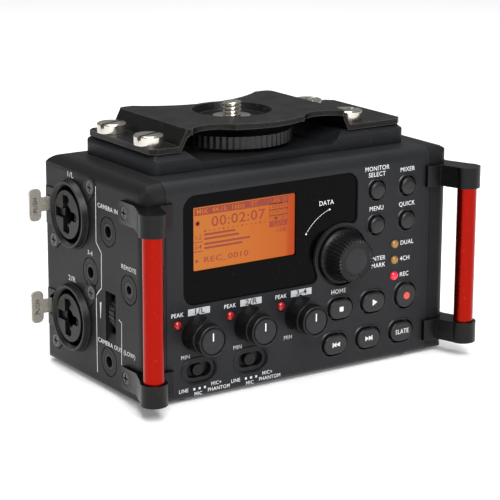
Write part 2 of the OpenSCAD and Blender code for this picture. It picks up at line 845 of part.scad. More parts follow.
module left_upper_bracket() bracket(-1, 1);
module left_lower_bracket() bracket(-1, 0);
module right_upper_bracket() bracket(1, 1);
module right_lower_bracket() bracket(1, 0);

// Bar, let into the eyes of its two brackets
module handle_bar(s) {
    z0 = bracket_z[0] + arm_h - bar_seat;
    z1 = bracket_z[1] + bar_seat;
    color("#c8281c") translate([s * bar_x, bar_y, z0]) cylinder(h = z1 - z0, r = bar_r);
}

module left_handle_bar() handle_bar(-1);
module right_handle_bar() handle_bar(1);

module bracket_screws() {
    for (s = [-1, 1], z0 = bracket_z) on_side(s) color("#55565a") difference() {
        union() {
            rod_x(bracket_screw_y, z0 + arm_h / 2, side_x + 0.4, side_x + 1.3, 2);
            rod_x(bracket_screw_y, z0 + arm_h / 2, side_x - 5, side_x + 0.5, 1.3);
        }
        translate([side_x + 1.3, bracket_screw_y, z0 + arm_h / 2])
            for (a = [0, 90]) rotate([a, 0, 0]) cube([1.2, 0.6, 2.8], center = true);
    }
}

// ---- back and inside ----

// Door over the cells: hinged at its foot, with a well for the latch and four grip grooves
module battery_door() {
    top_z = door_z[1];
    color("#2f3033") difference() {
        union() {
            block([door_x[0], back_y - door_t, door_z[0]], [door_x[1], back_y, top_z]);
            translate([door_x[0], door_axis_y, door_z[0]]) rotate([0, 90, 0])
                cylinder(h = door_x[1] - door_x[0], r = door_t / 2);
        }
        block([-9, back_y - 1.2, top_z - 11], [7, back_y + 1, top_z - 2.5]);
        for (i = [0:3]) block([-20, back_y - 0.6, 14 + 3 * i], [18, back_y + 1, 15.2 + 3 * i]);
    }
}

module door_latch() {
    z = door_z[1] - 8;
    color("#1f2022") {
        block([-8.8, back_y - 1.1, z], [6.8, back_y - 0.2, z + 5.3]);
        for (i = [0:2]) block([-7, back_y - 0.3, z + 0.8 + 1.6 * i], [5, back_y + 0.5, z + 1.6 + 1.6 * i]);
    }
}

module battery_tray() {
    x0 = cell_x - cell_len / 2 - 2;
    x1 = cell_x + cell_len / 2 + 2;
    top_z = cell_z0 + 3 * cell_pitch + cell_r;
    color("#242528") difference() {
        block([x0 - 1, cell_y - cell_r - 1.4, cell_z0 - cell_r - 1.2], [x1 + 1, back_y - 2.6, top_z]);
        for (i = [0:3]) {
            rod_x(cell_y, cell_z0 + i * cell_pitch, x0, x1, cell_r + 0.2);
            block([x0, cell_y, cell_z0 + i * cell_pitch - cell_r + 0.6],
                [x1, back_y, cell_z0 + i * cell_pitch + cell_r - 0.6]);
        }
    }
}

module aa_cells() {
    for (i = [0:3]) color("#3c6e9a") translate([cell_x, cell_y, cell_z0 + i * cell_pitch])
        mirror([i % 2, 0, 0]) {
            rod_x(0, 0, -cell_len / 2 + 0.3, cell_len / 2 - 1.6, cell_r - 0.15);
            rod_x(0, 0, cell_len / 2 - 1.7, cell_len / 2 - 0.3, 2.7);
        }
}

module battery_contacts() {
    for (i = [0:3], s = [-1, 1]) color("#c0bcae")
        translate([cell_x + s * (cell_len / 2 + 1.2), cell_y, cell_z0 + i * cell_pitch])
            cube([0.8, 9, 9], center = true);
}

module main_board() {
    color("#1f5a3a") difference() {
        block([-32, -8, 4.4], [48, -6.4, 66]);
        translate([0, -7, 0]) cube([14, 6, 22], center = true);
    }
    color("#15161a") for (i = [0:2]) block([-24 + 22 * i, -9.6, 30], [-12 + 22 * i, -7.9, 42]);
}

module front_board() {
    color("#1f5a3a") block([-48, inner_y + 4.4, 4.4], [48, inner_y + 6, 66]);
}

module tripod_bush() {
    color("#a8a49a") difference() {
        union() {
            cylinder(h = 9, r = 6);
            translate([0, 0, wall + 0.05]) cylinder(h = 1.6, r = 9);
        }
        translate([0, 0, -1]) cylinder(h = 9, r = 3.2);
    }
}

module rubber_feet() {
    color("#18181a") for (sx = [-1, 1], sy = [-1, 1])
        translate([sx * 44, sy * 24, -feet_drop]) cylinder(h = feet_drop, r = 4);
}

center_housing();
rear_cover();
left_end_cap();
right_end_cap();
top_platform();
mount_plate();
mount_screws();
camera_stud();
thumb_wheel();
stud_washer();
display_window();
lcd_module();
data_wheel();
trim_knob_1();
trim_knob_2();
trim_knob_3();
input_switch_1();
input_switch_2();
stop_button();
play_button();
record_button();
skip_back_button();
skip_forward_button();
slate_button();
monitor_button();
mixer_button();
menu_button();
quick_button();
mode_leds();
record_led();
peak_leds();
combo_jack_1();
combo_jack_2();
jack_inserts();
jack_screws();
latch_tab_1();
latch_tab_2();
left_mini_jacks();
right_mini_jacks();
level_wheel();
phones_wheel();
power_switch();
card_door();
left_upper_bracket();
left_lower_bracket();
right_upper_bracket();
right_lower_bracket();
left_handle_bar();
right_handle_bar();
bracket_screws();
battery_door();
door_latch();
battery_tray();
aa_cells();
battery_contacts();
main_board();
front_board();
tripod_bush();
rubber_feet();
card_socket();
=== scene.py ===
"""Looks of the portable field recorder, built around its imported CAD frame."""

import json
import math

import bmesh
import bpy
from mathutils import Matrix, Vector


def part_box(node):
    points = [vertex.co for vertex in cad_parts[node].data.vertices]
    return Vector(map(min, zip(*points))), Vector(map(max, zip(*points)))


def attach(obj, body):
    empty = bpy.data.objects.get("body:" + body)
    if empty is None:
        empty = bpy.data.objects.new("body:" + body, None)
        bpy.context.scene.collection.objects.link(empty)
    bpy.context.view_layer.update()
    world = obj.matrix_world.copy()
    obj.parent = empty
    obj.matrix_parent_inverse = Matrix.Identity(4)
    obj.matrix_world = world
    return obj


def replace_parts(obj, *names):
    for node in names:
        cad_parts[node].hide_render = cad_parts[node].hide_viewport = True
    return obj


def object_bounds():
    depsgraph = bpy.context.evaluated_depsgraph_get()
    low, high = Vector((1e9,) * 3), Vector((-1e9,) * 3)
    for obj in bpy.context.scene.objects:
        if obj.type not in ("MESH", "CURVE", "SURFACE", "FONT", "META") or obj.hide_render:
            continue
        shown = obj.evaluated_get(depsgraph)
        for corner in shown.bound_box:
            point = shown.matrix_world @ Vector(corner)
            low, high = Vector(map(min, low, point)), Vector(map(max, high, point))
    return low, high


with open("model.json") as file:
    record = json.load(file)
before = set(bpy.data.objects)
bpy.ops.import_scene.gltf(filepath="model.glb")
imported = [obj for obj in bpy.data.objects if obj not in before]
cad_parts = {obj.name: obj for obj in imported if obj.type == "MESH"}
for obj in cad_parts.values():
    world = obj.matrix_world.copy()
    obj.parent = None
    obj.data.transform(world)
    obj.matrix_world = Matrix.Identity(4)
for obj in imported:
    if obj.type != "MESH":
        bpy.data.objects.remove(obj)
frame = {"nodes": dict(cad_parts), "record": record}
cad_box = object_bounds()

MM = 0.001
RECORD = frame["record"]
NODE_BODY = {n: b for b, names in RECORD["behaviour"]["bodies"].items() for n in names}
NODE_SLOT = {n: o.data.materials[0].name.split(".")[0] for n, o in frame["nodes"].items()}


# ---- places, all in millimetres ----

def low(node):
    """Lower corner of a CAD node's box."""
    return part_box(node)[0] / MM


def high(node):
    """Upper corner of a CAD node's box."""
    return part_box(node)[1] / MM


def mid(node):
    """Middle of a CAD node's box."""
    return (low(node) + high(node)) / 2


FRONT = low("center_housing").y
LEFT = low("left_end_cap").x
RIGHT = high("right_end_cap").x
BACK = high("rear_cover").y
DIAL = mid("data_wheel")
TRIMS = [mid(f"trim_knob_{i}") for i in (1, 2, 3)]
JACKS = [mid(f"combo_jack_{i}") for i in (1, 2)]


# ---- colour and surface ----

def rgb(code):
    """Linear colour of a hex code."""
    parts = [int(code[i:i + 2], 16) / 255 for i in (1, 3, 5)]
    return [p / 12.92 if p < 0.04045 else ((p + 0.055) / 1.055) ** 2.4 for p in parts] + [1.0]


def new_group(name, inputs, outputs):
    """Empty shader node group with float or colour sockets; returns tree, its input and its output node."""
    tree = bpy.data.node_groups.new(name, "ShaderNodeTree")
    for label, value in inputs.items():
        kind = "NodeSocketColor" if isinstance(value, (list, tuple)) else "NodeSocketFloat"
        socket = tree.interface.new_socket(label, in_out="INPUT", socket_type=kind)
        socket.default_value = value
    for label, kind in outputs.items():
        tree.interface.new_socket(label, in_out="OUTPUT", socket_type=kind)
    return tree, tree.nodes.new("NodeGroupInput"), tree.nodes.new("NodeGroupOutput")


def link_math(tree, kind, a, b, clamp=False):
    """Math node fed by sockets or numbers; returns its output."""
    node = tree.nodes.new("ShaderNodeMath")
    node.operation = kind
    node.use_clamp = clamp
    for socket, value in zip(node.inputs, (a, b)):
        if isinstance(value, (int, float)):
            socket.default_value = value
        else:
            tree.links.new(value, socket)
    return node.outputs[0]


def link_noise(tree, scale, detail):
    """Noise on the object's own coordinates; scale may be a socket."""
    vector = tree.nodes.new("ShaderNodeTexCoord").outputs["Object"]
    node = tree.nodes.new("ShaderNodeTexNoise")
    node.inputs["Detail"].default_value = detail
    tree.links.new(vector, node.inputs["Vector"])
    if isinstance(scale, (int, float)):
        node.inputs["Scale"].default_value = scale
    else:
        tree.links.new(scale, node.inputs["Scale"])
    return node.outputs["Fac"]


def make_grain_group():
    """Fine leather-like grain of a moulded or painted skin."""
    tree, given, result = new_group(
        "surface_grain", {"Scale": 2500.0, "Depth": 0.5}, {"Height": "NodeSocketFloat"})
    fine = link_noise(tree, given.outputs["Scale"], 2.0)
    coords = tree.nodes.new("ShaderNodeTexCoord")
    cells = tree.nodes.new("ShaderNodeTexVoronoi")
    tree.links.new(coords.outputs["Object"], cells.inputs["Vector"])
    tree.links.new(given.outputs["Scale"], cells.inputs["Scale"])
    both = link_math(tree, "ADD", fine, cells.outputs["Distance"])
    tree.links.new(link_math(tree, "MULTIPLY", both, given.outputs["Depth"]), result.inputs["Height"])
    return tree


def make_drift_group():
    """Slow change of tone and gloss over a surface, as handling and moulding leave it."""
    tree, given, result = new_group(
        "tone_drift", {"Color": [0.5, 0.5, 0.5, 1], "Scale": 40.0, "Amount": 0.2, "Gloss": 0.5},
        {"Color": "NodeSocketColor", "Roughness": "NodeSocketFloat"})
    slow = link_noise(tree, given.outputs["Scale"], 5.0)
    centred = link_math(tree, "SUBTRACT", slow, 0.5)
    swing = link_math(tree, "MULTIPLY", centred, given.outputs["Amount"])
    value = link_math(tree, "ADD", swing, 1.0)
    tint = tree.nodes.new("ShaderNodeVectorMath")
    tint.operation = "SCALE"
    tree.links.new(given.outputs["Color"], tint.inputs[0])
    tree.links.new(value, tint.inputs["Scale"])
    tree.links.new(tint.outputs[0], result.inputs["Color"])
    tree.links.new(link_math(tree, "ADD", given.outputs["Gloss"], swing, True), result.inputs["Roughness"])
    return tree


def make_edge_group():
    """Mask of worn or bare edges: where the rounded normal leaves the true one, broken up by noise."""
    tree, given, result = new_group(
        "edge_wear", {"Radius": 0.0004, "Breakup": 900.0, "Amount": 1.0}, {"Mask": "NodeSocketFloat"})
    bevel = tree.nodes.new("ShaderNodeBevel")
    bevel.samples = 3
    tree.links.new(given.outputs["Radius"], bevel.inputs["Radius"])
    true_normal = tree.nodes.new("ShaderNodeNewGeometry")
    dot = tree.nodes.new("ShaderNodeVectorMath")
    dot.operation = "DOT_PRODUCT"
    tree.links.new(bevel.outputs[0], dot.inputs[0])
    tree.links.new(true_normal.outputs["Normal"], dot.inputs[1])
    edge = link_math(tree, "SUBTRACT", 1.0, dot.outputs["Value"])
    rough = link_noise(tree, given.outputs["Breakup"], 4.0)
    broken = link_math(tree, "MULTIPLY", edge, link_math(tree, "MULTIPLY", rough, 12.0))
    tree.links.new(link_math(tree, "MULTIPLY", broken, given.outputs["Amount"], True), result.inputs["Mask"])
    return tree


def make_dust_group():
    """Faint specks that settle on a surface."""
    tree, given, result = new_group(
        "dust_specks", {"Scale": 700.0, "Amount": 0.1}, {"Mask": "NodeSocketFloat"})
    fine = link_noise(tree, given.outputs["Scale"], 6.0)
    peaks = link_math(tree, "MULTIPLY", link_math(tree, "SUBTRACT", fine, 0.62, True), 8.0, True)
    tree.links.new(link_math(tree, "MULTIPLY", peaks, given.outputs["Amount"]), result.inputs["Mask"])
    return tree


GRAIN = make_grain_group()
DRIFT = make_drift_group()
EDGES = make_edge_group()
DUST = make_dust_group()


def place_group(tree, group, **values):
    """Puts a shader group in a material and sets its inputs."""
    node = tree.nodes.new("ShaderNodeGroup")
    node.node_tree = group
    for label, value in values.items():
        node.inputs[label].default_value = value
    return node


def finish_of(name, color, rough, metallic=0.0, grain=0.0, grain_scale=2500.0, drift=0.2, drift_scale=40.0,
              wear=0.0, wear_color="#8a8780", wear_radius=0.0004, dust=0.06, coat=0.0, specular=0.5,
              bump=0.00004):
    """Material with grain, tone drift, edge wear and dust, each by its own amount."""
    material = bpy.data.materials.new(name)
    material.use_nodes = True
    tree = material.node_tree
    shader = tree.nodes["Principled BSDF"]
    shader.inputs["Metallic"].default_value = metallic
    shader.inputs["Coat Weight"].default_value = coat
    shader.inputs["Coat Roughness"].default_value = 0.08
    shader.inputs["Specular IOR Level"].default_value = specular
    tone = place_group(tree, DRIFT, Color=rgb(color), Scale=drift_scale, Amount=drift, Gloss=rough)
    color_out = tone.outputs["Color"]
    specks = place_group(tree, DUST, Scale=700.0, Amount=dust)
    masks = [(specks.outputs["Mask"], "#8d8c88")]
    if wear:
        masks.append((place_group(tree, EDGES, Radius=wear_radius, Amount=wear).outputs["Mask"], wear_color))
    for mask, tint in masks:
        mix = tree.nodes.new("ShaderNodeMix")
        mix.data_type = "RGBA"
        tree.links.new(mask, mix.inputs[0])
        tree.links.new(color_out, mix.inputs[6])
        mix.inputs[7].default_value = rgb(tint)
        color_out = mix.outputs[2]
    tree.links.new(color_out, shader.inputs["Base Color"])
    tree.links.new(tone.outputs["Roughness"], shader.inputs["Roughness"])
    if grain:
        height = place_group(tree, GRAIN, Scale=grain_scale, Depth=grain)
        relief = tree.nodes.new("ShaderNodeBump")
        relief.inputs["Distance"].default_value = bump
        tree.links.new(height.outputs["Height"], relief.inputs["Height"])
        tree.links.new(relief.outputs["Normal"], shader.inputs["Normal"])
    return material


SHELL = finish_of("moulded_shell", "#17181b", 0.5, grain=1.0, dust=0.04, specular=0.25)
CAP = finish_of("end_cap_skin", "#121213", 0.5, grain=1.0, dust=0.04, specular=0.22)
PLATFORM = finish_of("platform_skin", "#17181b", 0.5, grain=1.0, specular=0.25)
PLATE = finish_of("painted_steel", "#070707", 0.4, grain=1.6, grain_scale=1800, drift=0.3, drift_scale=120,
                  wear=0.35, wear_color="#5f5a52", wear_radius=0.0004, specular=0.22)
TAB_NICKEL = finish_of("tab_nickel", "#d8d2c6", 0.27, metallic=0.72, drift=0.08, drift_scale=200, dust=0.02)
NICKEL = finish_of("nickel", "#c9c4ba", 0.2, metallic=0.97, drift=0.08, drift_scale=200, dust=0.02)
SCREW_STEEL = finish_of("screw_steel", "#4c4b4a", 0.35, metallic=0.8, drift=0.3, drift_scale=300)
WHEEL_BLACK = finish_of("wheel_black", "#101112", 0.42, grain=0.6, wear=0.25, wear_color="#6a6a68")
WINDOW = finish_of("gloss_window", "#020203", 0.12, drift=0.04, dust=0.01, specular=0.05)
KNOB = finish_of("knob_satin", "#08090a", 0.42, grain=0.5, wear=0.06, wear_color="#4c4d50", specular=0.25)
KNOB_FACE = finish_of("knob_face", "#17181b", 0.42, grain=0.4, specular=0.3)
BUTTON = finish_of("button_rubber", "#131416", 0.4, grain=0.4, specular=0.4)
KEY_WELL = finish_of("key_well", "#050506", 0.35, grain=0.3, specular=0.4)
JACK_BLACK = finish_of("socket_black", "#070708", 0.42, grain=0.3, specular=0.3)
INSERT = finish_of("socket_insert", "#08080a", 0.42, grain=0.3, specular=0.25)
BRACKET = finish_of("bracket_satin", "#030304", 0.32, grain=0.5, wear=0.12, wear_color="#3a3b3f", dust=0.02,
                    specular=0.22)
RED_BAR = finish_of("red_anodised", "#94140a", 0.28, metallic=0.95, drift=0.1, drift_scale=150)
DOOR = finish_of("door_skin", "#18181a", 0.5, grain=1.0)
CELL = finish_of("cell_sleeve", "#8a6a2c", 0.35, drift=0.2, coat=0.4)
CONTACT = finish_of("contact_plate", "#c8c2b0", 0.3, metallic=1.0)
BOARD = finish_of("board_mask", "#1c4a2c", 0.4, drift=0.3, drift_scale=300)
BUSH = finish_of("bush_brass", "#b8935a", 0.35, metallic=1.0)
RUBBER = finish_of("foot_rubber", "#0d0e0f", 0.8, grain=0.8)
LED_AMBER = finish_of("amber_lens", "#8a6428", 0.25, coat=0.4, drift=0.1, dust=0.0)
LED_RED = finish_of("red_lens", "#d0102c", 0.2, coat=0.6, drift=0.1, dust=0.0)
LED_PEAK = finish_of("peak_lens", "#8a0c0a", 0.25, coat=0.4, drift=0.1, dust=0.0)
WHITE_INK = finish_of("white_ink", "#d2d4d6", 0.6, dust=0.0)
# Grey ink of the label boxes and the door print; on the MIN words it is painted shade in place of white
# print.
GREY_INK_AND_PAINTED_SHADE = finish_of("grey_ink_and_painted_shade", "#b4b6b8", 0.6, dust=0.0)
DARK_INK = finish_of("dark_ink", "#1a1b1d", 0.6, dust=0.0)
RED_INK = finish_of("red_ink", "#d04a3c", 0.5, dust=0.0)
LCD_INK = finish_of("lcd_ink", "#7a2408", 0.5, dust=0.0)


def make_backlight():
    """Amber backlight, deeper towards its right edge, behind a fine grid of picture cells."""
    material = finish_of("lcd_backlight", "#2a1204", 0.35, dust=0.0, specular=0.2)
    tree = material.node_tree
    shader = tree.nodes["Principled BSDF"]
    coords = tree.nodes.new("ShaderNodeTexCoord")
    split = tree.nodes.new("ShaderNodeSeparateXYZ")
    tree.links.new(coords.outputs["Object"], split.inputs[0])
    left, right = low("lcd_module").x + 3, high("lcd_module").x - 3
    along = link_math(tree, "DIVIDE", link_math(tree, "SUBTRACT", split.outputs["X"], left * MM),
                      (right - left) * MM)
    ramp = tree.nodes.new("ShaderNodeValToRGB")
    tree.links.new(along, ramp.inputs[0])
    ramp.color_ramp.elements[0].color = rgb("#f08a34")
    ramp.color_ramp.elements[1].color = rgb("#d84a00")
    for place, code in ((0.5, "#ef8226"), (0.9, "#e87018"), (0.94, "#de5204")):
        ramp.color_ramp.elements.new(place).color = rgb(code)
    cell = 0.32 * MM
    lines = [link_math(tree, "GREATER_THAN", link_math(tree, "FRACT", link_math(
        tree, "DIVIDE", split.outputs[axis], cell), 0.0), 0.14) for axis in ("X", "Z")]
    grid = link_math(tree, "MULTIPLY", lines[0], lines[1])
    level = link_math(tree, "ADD", link_math(tree, "MULTIPLY", grid, 0.14), 0.86)
    tint = tree.nodes.new("ShaderNodeVectorMath")
    tint.operation = "SCALE"
    tree.links.new(ramp.outputs["Color"], tint.inputs[0])
    tree.links.new(level, tint.inputs["Scale"])
    tree.links.new(tint.outputs[0], shader.inputs["Emission Color"])
    shader.inputs["Emission Strength"].default_value = 0.68
    return material


BACKLIGHT = make_backlight()
LAMP_GLOW = ((LED_RED, "#ff2040", 0.7), (LED_PEAK, "#e01810", 0.06), (LED_AMBER, "#e0b060", 0.03))
for lens, code, power in LAMP_GLOW:
    lens.node_tree.nodes["Principled BSDF"].inputs["Emission Color"].default_value = rgb(code)
    lens.node_tree.nodes["Principled BSDF"].inputs["Emission Strength"].default_value = power

SLOT_FINISH = {
    "shell": SHELL, "cap": CAP, "platform": PLATFORM, "plate": PLATE, "nickel": NICKEL,
    "screw_steel": SCREW_STEEL, "wheel_black": WHEEL_BLACK, "window": WINDOW, "lcd": DARK_INK, "knob": KNOB,
    "button": BUTTON, "led_amber": LED_AMBER, "led_red": LED_RED, "jack_black": JACK_BLACK,
    "insert": INSERT, "bracket": BRACKET, "red_bar": RED_BAR, "door": DOOR, "cell": CELL,
    "contact": CONTACT, "board": BOARD, "bush": BUSH, "rubber": RUBBER}


# ---- making pieces ----

def add_piece(name, bm, finish, body, smooth=True, in_metres=False, sharp=35.0):
    """Turns a bmesh in millimetres into an object at the origin that rides on a body."""
    if not in_metres:
        bmesh.ops.scale(bm, vec=(MM, MM, MM), verts=bm.verts)
    mesh = bpy.data.meshes.new(name)
    for face in bm.faces:
        face.smooth = smooth
    if smooth:
        for edge in bm.edges:
            edge.smooth = edge.calc_face_angle(0.0) < math.radians(sharp)
    bm.to_mesh(mesh)
    bm.free()
    piece = bpy.data.objects.new(name, mesh)
    bpy.context.scene.collection.objects.link(piece)
    mesh.materials.append(finish)
    if smooth:
        even = piece.modifiers.new("even_normals", "WEIGHTED_NORMAL")
        even.keep_sharp = True
        even.weight = 90
    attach(piece, body)
    return piece


def softened(node, width, segments=2, angle=32.0):
    """Copy of a CAD node, merged and with its sharp edges rounded, that stands for the node."""
    bm = bmesh.new()
    bm.from_mesh(frame["nodes"][node].data)
    bmesh.ops.remove_doubles(bm, verts=bm.verts, dist=2e-6)
    bmesh.ops.dissolve_limit(bm, angle_limit=math.radians(0.6), verts=bm.verts, edges=bm.edges)
    edges = [e for e in bm.edges
             if len(e.link_faces) == 2 and abs(e.calc_face_angle(0.0)) > math.radians(angle)]
    if width:
        bmesh.ops.bevel(bm, geom=edges, offset=width * MM, offset_type="OFFSET", segments=segments,
                        profile=0.5, affect="EDGES", clamp_overlap=True, material=-1)
    finish = TAB_NICKEL if node.startswith("latch_tab") else SLOT_FINISH[NODE_SLOT[node]]
    piece = add_piece(f"{node}_skin", bm, finish, NODE_BODY[node],
                      in_metres=True)
    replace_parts(piece, node)
    return piece


# ---- shapes ----

FACE_AXES = {"front": ((1, 0, 0), (0, 0, 1), (0, -1, 0)), "left": ((0, -1, 0), (0, 0, 1), (-1, 0, 0)),
             "right": ((0, 1, 0), (0, 0, 1), (1, 0, 0)), "back": ((-1, 0, 0), (0, 0, 1), (0, 1, 0)),
             "top": ((1, 0, 0), (0, 1, 0), (0, 0, 1))}


def on_face(face, place, turn=0.0):
    """Matrix that stands a shape on a face: its X to the right, its Y up, its Z outwards."""
    across, up, out = (Vector(v) for v in FACE_AXES[face])
    axes = Matrix((across, up, out)).transposed().to_4x4()
    return Matrix.Translation(Vector(place)) @ axes @ Matrix.Rotation(math.radians(turn), 4, "Z")


def front_at(x, z, out=0.0, turn=0.0):
    """Placing on the front panel, out millimetres in front of it."""
    return on_face("front", (x, FRONT - out, z), turn)


def left_at(y, z, out=0.0, turn=0.0):
    """Placing on the left side, out millimetres in front of it."""
    return on_face("left", (LEFT - out, y, z), turn)


def right_at(y, z, out=0.0, turn=0.0):
    """Placing on the right side, out millimetres in front of it."""
    return on_face("right", (RIGHT + out, y, z), turn)


def back_at(x, z, out=0.0, turn=0.0):
    """Placing on the back, out millimetres in front of it."""
    return on_face("back", (x, BACK + out, z), turn)


def pour(bm, part, matrix):
    """Adds one bmesh to another through a placing matrix."""
    mesh = bpy.data.meshes.new("part")
    part.to_mesh(mesh)
    part.free()
    mesh.transform(matrix)
    bm.from_mesh(mesh)
    bpy.data.meshes.remove(mesh)


def lathe(outline, steps=64):
    """Full turn about Z of (radius, height) points that start and end on the axis or close a loop."""
    part = bmesh.new()
    verts = [part.verts.new((r, 0, h)) for r, h in outline]
    edges = [part.edges.new(pair) for pair in zip(verts, verts[1:])]
    bmesh.ops.spin(part, geom=verts + edges, cent=(0, 0, 0), axis=(0, 0, 1), angle=math.tau, steps=steps,
                   use_merge=True, use_duplicate=False)
    bmesh.ops.remove_doubles(part, verts=part.verts, dist=1e-4)
    bmesh.ops.recalc_face_normals(part, faces=part.faces)
    return part


def prism(radius, height, sides, turn=0.0):
    """Upright prism on Z = 0; many sides make it round."""
    part = bmesh.new()
    bmesh.ops.create_cone(part, cap_ends=True, cap_tris=False, segments=sides, radius1=radius, radius2=radius,
                          depth=height, matrix=Matrix.Rotation(math.radians(turn), 4, "Z"))
    bmesh.ops.translate(part, verts=part.verts, vec=(0, 0, height / 2))
    return part


def bar(w, h, t):
    """Flat strip w by h, t thick, standing on Z = 0."""
    part = bmesh.new()
    bmesh.ops.create_cube(part, size=1)
    bmesh.ops.scale(part, vec=(w, h, t), verts=part.verts)
    bmesh.ops.translate(part, verts=part.verts, vec=(0, 0, t / 2))
    return part


def capsule(w, h, foot, steps):
    """Round-ended cap from foot up to Z = 0, finished by inset steps of (inset, rise)."""
    part = bmesh.new()
    bmesh.ops.create_circle(part, cap_ends=True, radius=h / 2, segments=48)
    stretch = (w - h) / 2
    for vert in part.verts:
        if stretch and abs(vert.co.x) > 1e-6:
            vert.co.x += math.copysign(stretch, vert.co.x)
    bmesh.ops.translate(part, verts=part.verts, vec=(0, 0, foot))
    made = bmesh.ops.extrude_face_region(part, geom=part.faces[:])
    top = [f for f in made["geom"] if isinstance(f, bmesh.types.BMFace)]
    bmesh.ops.translate(part, verts=[v for v in made["geom"] if isinstance(v, bmesh.types.BMVert)],
                        vec=(0, 0, -foot))
    bmesh.ops.recalc_face_normals(part, faces=part.faces)
    for inset, rise in steps:
        bmesh.ops.inset_region(part, faces=top, thickness=inset, depth=rise, use_even_offset=True)
    return part


INK = 0.03


def words(bm, text, size, matrix, squeeze=0.95, align="CENTER"):
    """Flat lettering, made a mesh and then put in place."""
    curve = bpy.data.curves.new("words", "FONT")
    curve.body = text
    curve.size = size
    curve.align_x = align
    curve.align_y = "CENTER"
    curve.extrude = INK
    curve.offset = size * 0.004
    curve.space_character = 1.08
    curve.resolution_u = 3
    curve.space_line = 0.95
    holder = bpy.data.objects.new("words", curve)
    bpy.context.scene.collection.objects.link(holder)
    bpy.context.view_layer.update()
    mesh = bpy.data.meshes.new_from_object(holder.evaluated_get(bpy.context.evaluated_depsgraph_get()))
    bpy.data.objects.remove(holder)
    bpy.data.curves.remove(curve)
    mesh.transform(matrix @ Matrix.Diagonal((squeeze, 1, 1, 1)))
    bm.from_mesh(mesh)
    bpy.data.meshes.remove(mesh)
    bmesh.ops.remove_doubles(bm, verts=bm.verts, dist=1e-5)


def ink_line(bm, points, width, at):
    """Thin line through (across, up) points on a face; at(across, up, out, turn) gives the placing."""
    for (x0, y0), (x1, y1) in zip(points, points[1:]):
        mirror = -1 if at is left_at or at is back_at else 1
        dx, dy = (x1 - x0) * mirror, y1 - y0
        pour(bm, bar(math.hypot(dx, dy) + width, width, INK),
             at((x0 + x1) / 2, (y0 + y1) / 2, 0.0, math.degrees(math.atan2(dy, dx))))


# ---- CAD pieces with softened edges ----

SOFT_EDGES = {
    "center_housing": 0.3, "rear_cover": 0.3, "left_end_cap": 0.3, "right_end_cap": 0.3, "top_platform": 0.35,
    "mount_plate": 0.4, "mount_screws": 0.35, "thumb_wheel": 0.25, "stud_washer": 0.12,
    "display_window": 0.15,
    "combo_jack_1": 0.25, "combo_jack_2": 0.25, "jack_inserts": 0.3, "jack_screws": 0.15, "latch_tab_1": 0.2,
    "latch_tab_2": 0.2, "left_mini_jacks": 0.2, "right_mini_jacks": 0.2, "left_upper_bracket": 0.5,
    "left_lower_bracket": 0.5, "right_upper_bracket": 0.5, "right_lower_bracket": 0.5,
    "left_handle_bar": 0.3, "right_handle_bar": 0.3, "bracket_screws": 0.2, "battery_door": 0.3,
    "door_latch": 0.15, "card_door": 0.2, "power_switch": 0.15, "rubber_feet": 0.3, "level_wheel": 0.15,
    "phones_wheel": 0.15, "input_switch_1": 0.3, "input_switch_2": 0.3, "tripod_bush": 0.2}

for node, width in SOFT_EDGES.items():
    softened(node, width)

for node, thing in frame["nodes"].items():
    for index in range(len(thing.data.materials)):
        thing.data.materials[index] = SLOT_FINISH[NODE_SLOT[node]]


# ---- display ----

# Width of the dark frame round the picture
DISPLAY_RIM = 3.1
# How far the figures stand in front of the CAD picture
FIGURES_OUT = 0.21
# Height on the picture and length of each level bar, as shares of its height and width
LEVEL_BARS = ((0.555, 0.3), (0.487, 0.335), (0.405, 0.445), (0.34, 0.37))
# Height on the picture, word, and whether the box is filled
SIDE_BOXES = ((0.83, "REVERB", False), (0.735, "LOWCUT", False), (0.64, "LIMITER", False),
              (0.545, "SLATE", True))


